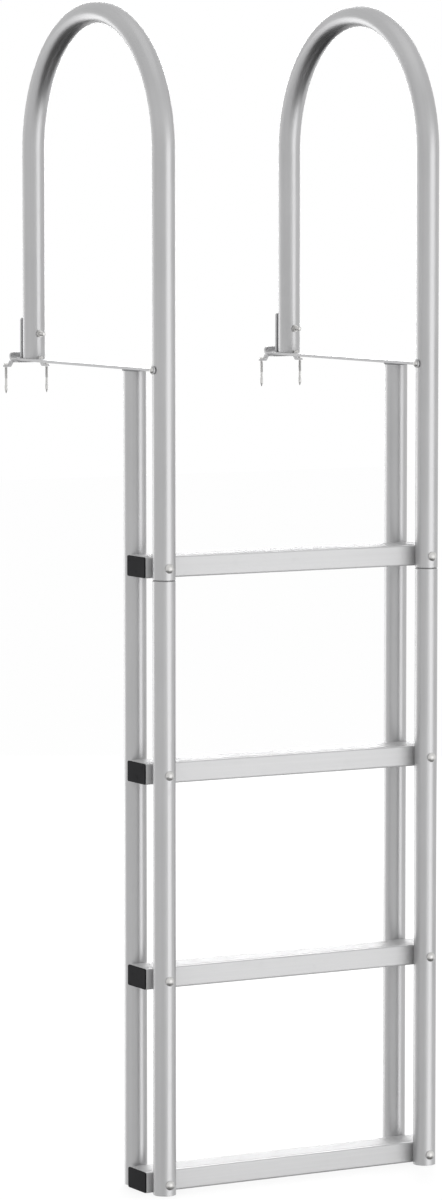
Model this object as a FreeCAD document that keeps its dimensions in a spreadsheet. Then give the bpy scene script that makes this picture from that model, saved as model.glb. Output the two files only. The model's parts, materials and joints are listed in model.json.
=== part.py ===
# Fixed dock ladder with two hooped handrails, four box steps and two deck brackets.
# Z is up, X runs across the ladder and Y runs from the water towards the dock.
# The origin is the underside of the left bracket's outer ear, on its screw's axis, at the deck's surface.
import FreeCAD, Part
import math
import os
import Sketcher

SIZES = [
    ("tube_diameter", 34, "outside diameter of every tube"),
    ("tube_wall", 2.5, "wall of the tubes"),
    ("side_spacing", 452, "left to right tube axes"),
    ("post_spacing", 89, "front to rear tube axes"),
    ("hoop_span", 412, "front leg to deck leg axes of a handrail"),
    ("hoop_leg_height", 329.5, "deck surface to the start of the hoop's arch"),
    ("joint_drop", 296.5, "deck surface down to the tube joint"),
    ("joint_gap", 0.6, "gap between a handrail's end and the post's shoulder"),
    ("joint_chamfer", 0.8, "chamfered rims on both sides of the joint"),
    ("spigot_length", 60, "spigot above the tube joint"),
    ("spigot_wall", 2.2, "wall of the spigot"),
    ("spigot_clearance", 0.15, "gap round the spigot"),
    ("swage_length", 12, "length of the neck that narrows to the spigot"),
    ("first_step_drop", 262.5, "deck surface down to the first step's top"),
    ("step_pitch", 305, "one step's top to the next"),
    ("step_height", 32, "height of a step"),
    ("step_wall", 2, "wall of the step's box section"),
    ("step_overhang", 21, "step end beyond the tube axis, without its cap"),
    ("step_corner_radius", 3, "outside corners of the step's box section"),
    ("step_clearance", 0.2, "gap between a step and a tube"),
    ("rib_height", 0.8, "grip ribs on a step's top"),
    ("rib_width", 2, "grip ribs"),
    ("rib_pitch", 5, "one grip rib to the next"),
    ("cap_flange", 2, "end cap's face plate"),
    ("cap_inset", 0.3, "end cap's face inside the step's outline"),
    ("cap_plug_length", 14, "end cap's plug inside the step"),
    ("cap_plug_wall", 2, "wall of the plug"),
    ("cap_clearance", 0.25, "gap round the plug"),
    ("cap_edge_radius", 0.8, "rounded edge of the cap's face"),
    ("foot_setback", 26, "deck leg axis to the cross foot's centre"),
    ("foot_length", 78, "cross foot across the ladder"),
    ("pad_width", 23, "cross foot's raised pad along the strip"),
    ("pad_corner_radius", 3, "corners of the raised pad"),
    ("web_slope", 60, "degrees that the cross foot's webs stand up from the deck"),
    ("foot_width", 10, "cross foot's webs and ears along the strip"),
    ("foot_thickness", 2.5, "cross foot's plate"),
    ("foot_rise", 7, "deck surface to the underside of the raised pad"),
    ("foot_end_radius", 4, "rounded ends of the cross foot"),
    ("foot_bend_radius", 1.5, "bends of the cross foot"),
    ("strip_width", 40, "deck strip"),
    ("strip_thickness", 4, "deck strip"),
    ("strip_tail", 44, "deck leg axis to the strip's deck end"),
    ("lip_height", 8, "turned-up end above the strip's top"),
    ("lip_bend_radius", 2, "inside radius of the turned-up end"),
    ("lip_corner_radius", 5, "corners of the turned-up end"),
    ("eye_radius", 6, "eyes that hold the strip to the front tube"),
    ("fork_clearance", 0.3, "gap between the fork and the front tube"),
    ("tab_width", 26, "upright tab behind the deck leg"),
    ("tab_height", 62, "upright tab above the strip"),
    ("tab_thickness", 4, "upright tab"),
    ("tab_corner_radius", 5, "upright tab's top corners"),
    ("tab_clearance", 0.2, "gap between the tab and the deck leg"),
    ("leg_bolt_height", 51.5, "deck surface to the leg bolt's axis"),
    ("bolt_diameter", 6, "all bolts"),
    ("bolt_chamfer", 0.8, "chamfer of a bolt's end"),
    ("hole_clearance", 0.25, "gap round a bolt or a screw in its hole"),
    ("seat_clearance", 0.2, "gap under a head or nut on a round tube"),
    ("dome_diameter", 14, "domed bolt head"),
    ("dome_height", 3.8, "domed bolt head"),
    ("fork_head_diameter", 9, "fork bolt's domed head"),
    ("nut_flats", 10, "hexagon nut across its flats"),
    ("nut_height", 4, "hexagon nut without its collar"),
    ("collar_diameter", 8.8, "round locking collar of a nut"),
    ("collar_height", 1.6, "round locking collar of a nut"),
    ("thread_end", 3, "bolt beyond its nut"),
    ("leg_thread_end", 11, "leg bolt beyond its nut"),
    ("screw_diameter", 4.6, "deck screw"),
    ("screw_neck_diameter", 5.2, "deck screw inside the cross foot"),
    ("screw_edge", 4, "deck screw's axis to the end of the cross foot"),
    ("screw_reach", 40.5, "deck screw below the deck surface"),
    ("screw_tip", 5, "pointed end of a deck screw"),
    ("screw_point_diameter", 1, "blunt end of the point"),
    ("screw_head_flats", 5.5, "deck screw's hexagon head across its flats"),
    ("screw_head_height", 2.4, "deck screw's hexagon head"),
    ("screw_flange_diameter", 7.4, "round flange under the hexagon head"),
    ("screw_flange_height", 0.8, "round flange under the hexagon head"),
    ("cut_margin", 2, "how far a cut runs past the faces that it goes through"),
]
STEP_COUNT = 4
RIB_COUNT = 9
CORNER_SLOPE = "tan(30 deg)"  # chamfered corners of nuts and hexagon heads
DRAWN_RADIUS = 5
TOUCH = 1e-6

doc = FreeCAD.newDocument("dock_ladder")
sheet = doc.addObject("Spreadsheet::Sheet", "Sizes")
for row, (alias, size, note) in enumerate(SIZES, start=1):
    sheet.set(f"A{row}", note)
    sheet.set(f"B{row}", str(size))
    sheet.setAlias(f"B{row}", alias)
doc.recompute()

# Places that several pieces share, as expressions on the sheet.
TUBE_RADIUS = "(Sizes.tube_diameter / 2)"
BORE_RADIUS = "(Sizes.tube_diameter / 2 - Sizes.tube_wall)"
SCREW_SPACING = "(Sizes.foot_length - 2 * Sizes.screw_edge)"
LEFT_X = f"({SCREW_SPACING} / 2)"
RIGHT_X = f"({LEFT_X} + Sizes.side_spacing)"
SIDES = (("left", LEFT_X), ("right", RIGHT_X))
LEG_Y = "(-Sizes.foot_setback)"
FRONT_Y = "(-Sizes.foot_setback - Sizes.hoop_span)"
REAR_Y = f"({FRONT_Y} + Sizes.post_spacing)"
SPRING_Z = "Sizes.hoop_leg_height"
JOINT_Z = "(-Sizes.joint_drop)"
STRIP_BOTTOM = "(Sizes.foot_rise + Sizes.foot_thickness)"
STRIP_TOP = f"({STRIP_BOTTOM} + Sizes.strip_thickness)"
EYE_Z = f"({STRIP_BOTTOM} + Sizes.strip_thickness / 2)"
BOTTOM_Z = f"(-Sizes.first_step_drop - {STEP_COUNT - 1} * Sizes.step_pitch - Sizes.step_height)"
STEP_MIDDLE_Z = "(-Sizes.first_step_drop - Sizes.step_height / 2)"
STEP_TOP = "(Sizes.step_height / 2 - Sizes.rib_height)"
STEP_BOTTOM = "(-Sizes.step_height / 2)"
STEP_HALF = "((Sizes.post_spacing - Sizes.tube_diameter) / 2 - Sizes.step_clearance)"
STEP_LENGTH = "(Sizes.side_spacing + 2 * Sizes.step_overhang)"
STEP_Y = f"({FRONT_Y} + Sizes.post_spacing / 2)"
BOLT_HOLE = "(Sizes.bolt_diameter / 2 + Sizes.hole_clearance)"
BEHIND_LEG = f"({LEG_Y} + {TUBE_RADIUS} + Sizes.tab_clearance)"
NUT_LENGTH = "(Sizes.nut_height + Sizes.collar_height)"
NUT_CORNER = "(Sizes.nut_flats / 2 / cos(30 deg))"
INNER_SEAT = f"(sqrt({BORE_RADIUS} ^ 2 - {NUT_CORNER} ^ 2) - Sizes.seat_clearance)"
ACROSS_TUBE = "(Sizes.tube_diameter + Sizes.cut_margin)"


def number(expression):
    """The value of an expression on the sheet."""
    return float(sheet.evalExpression(expression))


def step_z(number_of_step):
    """The height of a step's middle."""
    return f"({STEP_MIDDLE_Z} - {number_of_step - 1} * Sizes.step_pitch)"


def new_body(label):
    """An empty body that may hold several solids."""
    body = doc.addObject("PartDesign::Body", label)
    body.Label = label
    body.AllowCompound = True
    return body


def new_sketch(body, name, role, offset="0"):
    """A sketch on one of the body's own planes, moved along the plane's normal."""
    sketch = body.newObject("Sketcher::SketchObject", name)
    plane = next(feature for feature in body.Origin.OriginFeatures if feature.Role == role)
    sketch.AttachmentSupport = [(plane, "")]
    sketch.MapMode = "FlatFace"
    sketch.setExpression("AttachmentOffset.Base.z", offset)
    return sketch


def hold(sketch, kind, geometry, point, distance):
    """Hold a point of the sketch at a distance from its origin, along X or Y."""
    now = sketch.getPoint(geometry, point)
    drawn = now.x if kind == "DistanceX" else now.y
    index = sketch.addConstraint(Sketcher.Constraint(kind, -1, 1, geometry, point, drawn))
    sketch.setExpression(f"Constraints[{index}]", distance)


def place_point(sketch, geometry, point, x, y):
    """Hold a point of the sketch at two distances from its origin."""
    hold(sketch, "DistanceX", geometry, point, x)
    hold(sketch, "DistanceY", geometry, point, y)


def draw_lines(sketch, corners, closed=True):
    """Straight lines through the corners, back to the first where closed; returns the first line's index."""
    first = sketch.GeometryCount
    drawn = [FreeCAD.Vector(number(x), number(y), 0) for x, y in corners]
    ends = drawn[1:] + drawn[:1] if closed else drawn[1:]
    for start, end in zip(drawn, ends):
        sketch.addGeometry(Part.LineSegment(start, end), False)
    for index in range(len(ends) if closed else len(ends) - 1):
        following = first + (index + 1) % len(ends)
        sketch.addConstraint(Sketcher.Constraint("Coincident", first + index, 2, following, 1))
    for index, (x, y) in enumerate(corners[:len(ends)]):
        place_point(sketch, first + index, 1, x, y)
    if not closed:
        place_point(sketch, first + len(ends) - 1, 2, *corners[-1])
    return first


def draw_rectangle(sketch, low_x, high_x, low_y, high_y):
    """A closed rectangle between two values each way."""
    draw_lines(sketch, [(low_x, low_y), (high_x, low_y), (high_x, high_y), (low_x, high_y)])


def mirrored(corners):
    """The corners mirrored to the sketch's left side, in the opposite order."""
    return [(f"-{x}", y) for x, y in reversed(corners)]


def draw_circle(sketch, x, y, radius):
    """A circle held by its centre and radius."""
    centre = FreeCAD.Vector(number(x), number(y), 0)
    circle = sketch.addGeometry(Part.Circle(centre, FreeCAD.Vector(0, 0, 1), DRAWN_RADIUS), False)
    place_point(sketch, circle, 3, x, y)
    index = sketch.addConstraint(Sketcher.Constraint("Radius", circle, DRAWN_RADIUS))
    sketch.setExpression(f"Constraints[{index}]", radius)


def draw_hexagon(sketch, flats):
    """A hexagon round the sketch's origin."""
    corner = f"(Sizes.{flats} / sqrt(3))"
    draw_lines(sketch, [(f"{corner} * cos({60 * turn} deg)", f"{corner} * sin({60 * turn} deg)")
                        for turn in range(6)])


def add_pad(body, name, sketch, length, symmetric=False, backwards=False):
    """A pad of the sketch: forwards, backwards or both ways from its plane."""
    pad = body.newObject("PartDesign::Pad", name)
    pad.Profile = sketch
    pad.setExpression("Length", length)
    pad.SideType = "Symmetric" if symmetric else "One side"
    pad.Reversed = backwards
    body.Tip = pad
    return pad


def add_turned(body, name, kind, sketch):
    """The sketch turned once about its own vertical axis, as a Revolution or a Groove."""
    turned = body.newObject(f"PartDesign::{kind}", name)
    turned.Profile = sketch
    turned.ReferenceAxis = (sketch, ["V_Axis"])
    turned.Angle = 360
    body.Tip = turned
    return turned


def add_pocket(body, name, sketch, length):
    """A pocket that cuts the same depth to both sides of the sketch's plane."""
    pocket = body.newObject("PartDesign::Pocket", name)
    pocket.Profile = sketch
    pocket.SideType = "Symmetric"
    pocket.setExpression("Length", length)
    body.Tip = pocket
    return pocket


def add_row(body, name, features, sketch, axis, length, count, backwards=False):
    """Copies of the features in a straight row along an axis of a sketch."""
    pattern = body.newObject("PartDesign::LinearPattern", name)
    pattern.Originals = features
    pattern.Direction = (sketch, [axis])
    pattern.Reversed = backwards
    pattern.setExpression("Length", length)
    pattern.Occurrences = count
    body.Tip = pattern
    return pattern


def add_edge_cut(body, name, kind, feature, size, chosen):
    """A Fillet or a Chamfer on the edges of a feature that pass the test."""
    doc.recompute()
    cut = body.newObject(f"PartDesign::{kind}", name)
    edges = [f"Edge{index}" for index, edge in enumerate(feature.Shape.Edges, start=1) if chosen(edge)]
    cut.Base = (feature, edges)
    cut.setExpression("Radius" if kind == "Fillet" else "Size", size)
    body.Tip = cut
    return cut


def add_fillet(body, name, feature, radius, chosen):
    """Round the edges of a feature that pass the test."""
    return add_edge_cut(body, name, "Fillet", feature, radius, chosen)


def runs_along(edge, axis):
    """Whether an edge is straight and parallel to one of the body's axes."""
    if not isinstance(edge.Curve, (Part.Line, Part.LineSegment)):
        return False
    direction = edge.tangentAt(edge.FirstParameter)
    return abs(abs(getattr(direction, axis)) - 1) < TOUCH


def passes(edge, y, z):
    """Whether an edge along X passes through a point of its profile."""
    return abs(edge.CenterOfMass.y - y) < TOUCH and abs(edge.CenterOfMass.z - z) < TOUCH


def on_outside(edge, shape):
    """Whether an edge lies on the outer corners of a shape's cross-section."""
    box, middle = shape.BoundBox, edge.CenterOfMass
    at_side = min(abs(middle.y - box.YMin), abs(middle.y - box.YMax)) < TOUCH
    at_end = min(abs(middle.z - box.ZMin), abs(middle.z - box.ZMax)) < TOUCH
    return at_side and at_end


def put(body, x="0", y="0", z="0", axis=None, angle=0):
    """Place a body, turned first by an angle about an axis."""
    if axis:
        body.Placement.Rotation = FreeCAD.Rotation(FreeCAD.Vector(*axis), angle)
    for name, distance in zip("xyz", (x, y, z)):
        body.setExpression(f"Placement.Base.{name}", distance)


def make_handrail(side, x):
    """One bent tube: front leg, half-circle arch and deck leg, with its three bolt holes."""
    body = new_body(f"handrail_{side}")
    path = new_sketch(body, "hoop_line", "YZ_Plane")
    front_leg = draw_lines(path, [(FRONT_Y, JOINT_Z), (FRONT_Y, SPRING_Z)], closed=False)
    deck_leg = draw_lines(path, [(LEG_Y, SPRING_Z), (LEG_Y, STRIP_TOP)], closed=False)
    middle = FreeCAD.Vector(number(f"({LEG_Y} + {FRONT_Y}) / 2"), number(SPRING_Z), 0)
    circle = Part.Circle(middle, FreeCAD.Vector(0, 0, 1), number("Sizes.hoop_span / 2"))
    arch = path.addGeometry(Part.ArcOfCircle(circle, 0, math.pi), False)
    path.addConstraint(Sketcher.Constraint("Coincident", front_leg, 2, arch, 2))
    path.addConstraint(Sketcher.Constraint("Coincident", arch, 1, deck_leg, 1))
    hold(path, "DistanceY", arch, 3, SPRING_Z)
    ring = new_sketch(body, "hoop_section", "XY_Plane", JOINT_Z)
    draw_circle(ring, "0", FRONT_Y, TUBE_RADIUS)
    draw_circle(ring, "0", FRONT_Y, BORE_RADIUS)
    pipe = body.newObject("PartDesign::AdditivePipe", "hoop")
    pipe.Profile = ring
    pipe.Spine = (path, ["Edge1", "Edge2", "Edge3"])
    end_z, outside = number(JOINT_Z), number(TUBE_RADIUS) * math.tau
    add_edge_cut(body, "joint_rim", "Chamfer", pipe, "Sizes.joint_chamfer",
                 lambda edge: abs(edge.BoundBox.ZMax - end_z) < TOUCH and abs(edge.Length - outside) < TOUCH)
    for name, role, offset, across, up in (
            ("step_bolt_hole", "XZ_Plane", f"-{FRONT_Y}", "0", STEP_MIDDLE_Z),
            ("leg_bolt_hole", "XZ_Plane", f"-{LEG_Y}", "0", "Sizes.leg_bolt_height"),
            ("fork_bolt_hole", "YZ_Plane", f"-{TUBE_RADIUS}", FRONT_Y, EYE_Z)):
        hole = new_sketch(body, f"{name}_outline", role, offset)
        draw_circle(hole, across, up, BOLT_HOLE)
        add_pocket(body, name, hole, ACROSS_TUBE)
    put(body, x)
    return body


def add_step_holes(body):
    """A row of holes through a post, one at the middle of each step."""
    hole = new_sketch(body, "step_hole_outline", "XZ_Plane")
    draw_circle(hole, "0", STEP_MIDDLE_Z, BOLT_HOLE)
    pocket = add_pocket(body, "step_hole", hole, ACROSS_TUBE)
    add_row(body, "step_holes", [pocket], hole, "V_Axis",
            f"{STEP_COUNT - 1} * Sizes.step_pitch", STEP_COUNT, backwards=True)


def make_front_post(side, x):
    """The lower front tube, swaged at its top to a spigot inside the handrail."""
    body = new_body(f"front_post_{side}")
    section = new_sketch(body, "post_section", "XZ_Plane")
    spigot = f"({BORE_RADIUS} - Sizes.spigot_clearance)"
    spigot_bore = f"({spigot} - Sizes.spigot_wall)"
    shoulder = f"({JOINT_Z} - Sizes.joint_gap)"
    top = f"({JOINT_Z} + Sizes.spigot_length)"
    neck = f"({shoulder} - Sizes.swage_length)"
    draw_lines(section, [
        (BORE_RADIUS, BOTTOM_Z), (TUBE_RADIUS, BOTTOM_Z), (TUBE_RADIUS, f"{shoulder} - Sizes.joint_chamfer"),
        (f"{TUBE_RADIUS} - Sizes.joint_chamfer", shoulder), (spigot, shoulder), (spigot, top),
        (spigot_bore, top), (spigot_bore, shoulder), (BORE_RADIUS, neck)])
    add_turned(body, "post", "Revolution", section)
    add_step_holes(body)
    put(body, x, FRONT_Y)
    return body


def make_rear_post(side, x):
    """The straight rear tube, from the underside of the deck strip to below the last step."""
    body = new_body(f"rear_post_{side}")
    section = new_sketch(body, "post_section", "XZ_Plane")
    draw_rectangle(section, BORE_RADIUS, TUBE_RADIUS, BOTTOM_Z, STRIP_BOTTOM)
    add_turned(body, "post", "Revolution", section)
    add_step_holes(body)
    put(body, x, REAR_Y)
    return body


def make_step(step):
    """A box-section step with ribs on its top and a bolt hole at each end."""
    body = new_body(f"step_{step}")
    section = new_sketch(body, "box_section", "YZ_Plane")
    wall = "Sizes.step_wall"
    draw_rectangle(section, f"-{STEP_HALF}", STEP_HALF, STEP_BOTTOM, STEP_TOP)
    draw_rectangle(section, f"-{STEP_HALF} + {wall}", f"{STEP_HALF} - {wall}",
                   f"{STEP_BOTTOM} + {wall}", f"{STEP_TOP} - {wall}")
    box = add_pad(body, "box", section, STEP_LENGTH, symmetric=True)
    add_fillet(body, "box_corners", box, "Sizes.step_corner_radius",
               lambda edge: runs_along(edge, "x") and on_outside(edge, box.Shape))
    rib = new_sketch(body, "rib_section", "YZ_Plane")
    first = f"(-{(RIB_COUNT - 1) / 2} * Sizes.rib_pitch)"
    draw_rectangle(rib, f"{first} - Sizes.rib_width / 2", f"{first} + Sizes.rib_width / 2",
                   STEP_TOP, f"{STEP_TOP} + Sizes.rib_height")
    ridge = add_pad(body, "rib", rib, STEP_LENGTH, symmetric=True)
    add_row(body, "ribs", [ridge], rib, "H_Axis", f"{RIB_COUNT - 1} * Sizes.rib_pitch", RIB_COUNT)
    hole = new_sketch(body, "bolt_hole_outline", "XZ_Plane")
    draw_circle(hole, "-Sizes.side_spacing / 2", "0", BOLT_HOLE)
    draw_circle(hole, "Sizes.side_spacing / 2", "0", BOLT_HOLE)
    add_pocket(body, "bolt_holes", hole, "Sizes.post_spacing")
    put(body, f"{LEFT_X} + Sizes.side_spacing / 2", STEP_Y, step_z(step))
    return body


def make_step_cap(step, side, x, angle):
    """A moulded cap: a face plate over the step's end and a hollow plug inside it."""
    body = new_body(f"step_{step}_cap_{side}")
    face = new_sketch(body, "face_outline", "YZ_Plane")
    inset = "Sizes.cap_inset"
    draw_rectangle(face, f"-{STEP_HALF} + {inset}", f"{STEP_HALF} - {inset}",
                   f"{STEP_BOTTOM} + {inset}", f"{STEP_TOP} - {inset}")
    plate = add_pad(body, "face", face, "Sizes.cap_flange")
    corners = add_fillet(body, "face_corners", plate, "Sizes.step_corner_radius - Sizes.cap_inset",
                         lambda edge: runs_along(edge, "x"))
    outer = number("Sizes.cap_flange")
    add_fillet(body, "face_edge", corners, "Sizes.cap_edge_radius",
               lambda edge: abs(edge.BoundBox.XMin - outer) < TOUCH)
    gap = "(Sizes.step_wall + Sizes.cap_clearance)"
    inner = f"({gap} + Sizes.cap_plug_wall)"
    plug = new_sketch(body, "plug_section", "YZ_Plane")
    for edge in (gap, inner):
        draw_rectangle(plug, f"-{STEP_HALF} + {edge}", f"{STEP_HALF} - {edge}",
                       f"{STEP_BOTTOM} + {edge}", f"{STEP_TOP} - {edge}")
    add_pad(body, "plug", plug, "Sizes.cap_plug_length", backwards=True)
    put(body, x, STEP_Y, step_z(step), (0, 0, 1), angle)
    return body


def make_deck_strip(side, x):
    """The flat bar on the deck, with a lip at its deck end and an eye on its fork's left prong."""
    body = new_body(f"deck_strip_{side}")
    profile = new_sketch(body, "bar_profile", "YZ_Plane")
    end = f"({LEG_Y} + Sizes.strip_tail)"
    face = f"({end} - Sizes.strip_thickness)"
    lip_top = f"({STRIP_TOP} + Sizes.lip_height)"
    draw_lines(profile, [(FRONT_Y, STRIP_BOTTOM), (end, STRIP_BOTTOM), (end, lip_top),
                         (face, lip_top), (face, STRIP_TOP), (FRONT_Y, STRIP_TOP)])
    bar = add_pad(body, "bar", profile, "Sizes.strip_width", symmetric=True)
    end_y, face_y = number(end), number(face)
    low, high = number(STRIP_BOTTOM), number(STRIP_TOP)
    outer = add_fillet(body, "bend_outside", bar, "Sizes.lip_bend_radius + Sizes.strip_thickness",
                       lambda edge: runs_along(edge, "x") and passes(edge, end_y, low))
    inner = add_fillet(body, "bend_inside", outer, "Sizes.lip_bend_radius",
                       lambda edge: runs_along(edge, "x") and passes(edge, face_y, high))
    add_fillet(body, "lip_corners", inner, "Sizes.lip_corner_radius",
               lambda edge: runs_along(edge, "y") and edge.CenterOfMass.z > high + TOUCH)
    eye = new_sketch(body, "eye_outline", "YZ_Plane")
    draw_circle(eye, FRONT_Y, EYE_Z, "Sizes.eye_radius")
    add_pad(body, "eye", eye, "Sizes.strip_width", symmetric=True)
    tube_gap = f"({TUBE_RADIUS} + Sizes.fork_clearance)"
    across_eye = "(2 * Sizes.eye_radius + Sizes.cut_margin)"
    saddle = new_sketch(body, "saddle_outline", "XY_Plane", EYE_Z)
    draw_circle(saddle, "0", FRONT_Y, tube_gap)
    add_pocket(body, "saddle", saddle, across_eye)
    mouth = new_sketch(body, "mouth_outline", "XY_Plane", EYE_Z)
    before_eye = f"{FRONT_Y} - Sizes.eye_radius - Sizes.cut_margin"
    behind_eye = f"{FRONT_Y} + Sizes.eye_radius"
    right = "Sizes.strip_width / 2 + Sizes.cut_margin"
    draw_lines(mouth, [(f"-{tube_gap}", before_eye), (right, before_eye), (right, behind_eye),
                       ("0", behind_eye), ("0", FRONT_Y), (f"-{tube_gap}", FRONT_Y)])
    add_pocket(body, "mouth", mouth, across_eye)
    hole = new_sketch(body, "bolt_hole_outline", "YZ_Plane")
    draw_circle(hole, FRONT_Y, EYE_Z, BOLT_HOLE)
    add_pocket(body, "bolt_hole", hole, "Sizes.strip_width + Sizes.cut_margin")
    put(body, x)
    return body


def make_leg_tab(side, x):
    """The upright tab on the strip that the deck leg is bolted to."""
    body = new_body(f"leg_tab_{side}")
    outline = new_sketch(body, "tab_outline", "XZ_Plane")
    half = "Sizes.tab_width / 2"
    draw_rectangle(outline, f"-{half}", half, STRIP_TOP, f"{STRIP_TOP} + Sizes.tab_height")
    draw_circle(outline, "0", "Sizes.leg_bolt_height", BOLT_HOLE)
    plate = add_pad(body, "plate", outline, "Sizes.tab_thickness", backwards=True)
    middle = number(f"{STRIP_TOP} + Sizes.tab_height / 2")
    add_fillet(body, "top_corners", plate, "Sizes.tab_corner_radius",
               lambda edge: runs_along(edge, "y") and edge.CenterOfMass.z > middle)
    put(body, x, BEHIND_LEG)
    return body


def make_cross_foot(side, x):
    """The bent plate under the strip: a raised pad, sloping webs and an ear for each deck screw."""
    body = new_body(f"cross_foot_{side}")
    profile = new_sketch(body, "plate_profile", "XZ_Plane")
    end = "(Sizes.foot_length / 2)"
    thickness = "Sizes.foot_thickness"
    half_turn = "tan(Sizes.web_slope / 2 * 1 deg)"
    lean = f"({thickness} * {half_turn})"
    flange = f"({SCREW_SPACING} / 2 - Sizes.screw_flange_diameter / 2 - Sizes.hole_clearance)"
    ear = f"({flange} - {lean} - Sizes.foot_bend_radius * {half_turn})"
    middle = f"({ear} - Sizes.foot_rise / tan(Sizes.web_slope * 1 deg))"
    under = [(end, "0"), (ear, "0"), (middle, "Sizes.foot_rise")]
    over = [(f"({middle} + {lean})", STRIP_BOTTOM), (f"({ear} + {lean})", thickness), (end, thickness)]
    draw_lines(profile, under + mirrored(under) + mirrored(over) + over)
    plate = add_pad(body, "plate", profile, "Sizes.foot_width", symmetric=True)
    tip = number(end)
    bends = add_fillet(body, "bends", plate, "Sizes.foot_bend_radius",
                       lambda edge: runs_along(edge, "y") and abs(edge.CenterOfMass.x) < tip - TOUCH)
    add_fillet(body, "ends", bends, "Sizes.foot_end_radius",
               lambda edge: runs_along(edge, "z") and abs(edge.CenterOfMass.x) > tip - TOUCH)
    outline = new_sketch(body, "pad_outline", "XY_Plane", "Sizes.foot_rise")
    half = "Sizes.pad_width / 2"
    draw_rectangle(outline, f"-{middle}", middle, f"-{half}", half)
    pad = add_pad(body, "pad", outline, thickness)
    side = number(half)
    add_fillet(body, "pad_corners", pad, "Sizes.pad_corner_radius",
               lambda edge: runs_along(edge, "z") and abs(abs(edge.CenterOfMass.y) - side) < TOUCH)
    hole = new_sketch(body, "screw_hole_outline", "XY_Plane")
    radius = "Sizes.screw_neck_diameter / 2 + Sizes.hole_clearance"
    draw_circle(hole, f"-{SCREW_SPACING} / 2", "0", radius)
    draw_circle(hole, f"{SCREW_SPACING} / 2", "0", radius)
    add_pocket(body, "screw_holes", hole, f"2 * {thickness} + Sizes.cut_margin")
    put(body, x)
    return body


def add_domed_bolt(body, head, length):
    """A domed head on a round shank along Z, with its seat at Z = 0 and a chamfered end."""
    section = new_sketch(body, "bolt_section", "XZ_Plane")
    rim = f"(Sizes.{head} / 2)"
    crown = "Sizes.dome_height"
    shank = "(Sizes.bolt_diameter / 2)"
    lines = draw_lines(section, [
        ("0", crown), ("0", f"-{length}"), (f"{shank} - Sizes.bolt_chamfer", f"-{length}"),
        (shank, f"-{length} + Sizes.bolt_chamfer"), (shank, "0"), (rim, "0")], closed=False)
    rim_now, crown_now = number(rim), number(crown)
    sphere = (rim_now ** 2 + crown_now ** 2) / (2 * crown_now)
    centre = FreeCAD.Vector(0, crown_now - sphere, 0)
    start = math.atan2(-centre.y, rim_now)
    dome = Part.ArcOfCircle(Part.Circle(centre, FreeCAD.Vector(0, 0, 1), sphere), start, math.pi / 2)
    arc = section.addGeometry(dome, False)
    section.addConstraint(Sketcher.Constraint("Coincident", arc, 1, arc - 1, 2))
    section.addConstraint(Sketcher.Constraint("Coincident", arc, 2, lines, 1))
    section.addConstraint(Sketcher.Constraint("DistanceX", -1, 1, arc, 3, 0.0))
    return section, add_turned(body, "bolt", "Revolution", section)


def make_step_bolts(step):
    """Two domed bolts, front to back through both tubes and the step."""
    body = new_body(f"step_{step}_bolts")
    length = ("(Sizes.post_spacing + Sizes.tube_diameter + 2 * Sizes.seat_clearance"
              f" + {NUT_LENGTH} + Sizes.thread_end)")
    section, bolt = add_domed_bolt(body, "dome_diameter", length)
    add_row(body, "pair", [bolt], section, "H_Axis", "Sizes.side_spacing", 2)
    put(body, LEFT_X, f"{FRONT_Y} - {TUBE_RADIUS} - Sizes.seat_clearance", step_z(step), (1, 0, 0), 90)
    return body


def add_corner_cut(body, name, flats, height, upwards):
    """A cone cut that takes the corners off one end of a hexagon; its face is a circle across the flats."""
    outline = new_sketch(body, f"{name}_outline", "XZ_Plane")
    inner = f"(Sizes.{flats} / 2)"
    outer = f"(Sizes.{flats} / sqrt(3) + Sizes.cut_margin)"
    sign = "-" if upwards else "+"
    drop = f"({height} {sign} ({outer} - {inner}) * {CORNER_SLOPE})"
    draw_lines(outline, [(inner, height), (outer, height), (outer, drop)])
    return add_turned(body, name, "Groove", outline)


def add_nut(body):
    """A hexagon lock nut along Z with its seat at Z = 0 and a round collar at its far end."""
    outline = new_sketch(body, "nut_outline", "XY_Plane")
    draw_hexagon(outline, "nut_flats")
    draw_circle(outline, "0", "0", BOLT_HOLE)
    nut = add_pad(body, "nut", outline, "Sizes.nut_height")
    lower = add_corner_cut(body, "lower_corners", "nut_flats", "0", upwards=False)
    upper = add_corner_cut(body, "upper_corners", "nut_flats", "Sizes.nut_height", upwards=True)
    ring = new_sketch(body, "collar_outline", "XY_Plane", "Sizes.nut_height")
    draw_circle(ring, "0", "0", "Sizes.collar_diameter / 2")
    draw_circle(ring, "0", "0", BOLT_HOLE)
    collar = add_pad(body, "collar", ring, "Sizes.collar_height")
    return outline, [nut, lower, upper, collar]


def make_step_nuts(step):
    """The two nuts behind the rear tubes."""
    body = new_body(f"step_{step}_nuts")
    outline, features = add_nut(body)
    add_row(body, "pair", features, outline, "H_Axis", "Sizes.side_spacing", 2)
    put(body, LEFT_X, f"{REAR_Y} + {TUBE_RADIUS} + Sizes.seat_clearance", step_z(step), (1, 0, 0), -90)
    return body


def make_leg_bolt(side, x):
    """The bolt from behind the tab through the deck leg."""
    body = new_body(f"leg_bolt_{side}")
    length = ("(Sizes.tab_thickness + Sizes.tab_clearance + Sizes.tube_diameter"
              f" + Sizes.seat_clearance + {NUT_LENGTH} + Sizes.leg_thread_end)")
    add_domed_bolt(body, "dome_diameter", length)
    put(body, x, f"{BEHIND_LEG} + Sizes.tab_thickness", "Sizes.leg_bolt_height", (1, 0, 0), -90)
    return body


def make_leg_nut(side, x):
    """The nut on the water side of the deck leg."""
    body = new_body(f"leg_nut_{side}")
    add_nut(body)
    put(body, x, f"{LEG_Y} - {TUBE_RADIUS} - Sizes.seat_clearance", "Sizes.leg_bolt_height", (1, 0, 0), 90)
    return body


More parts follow.
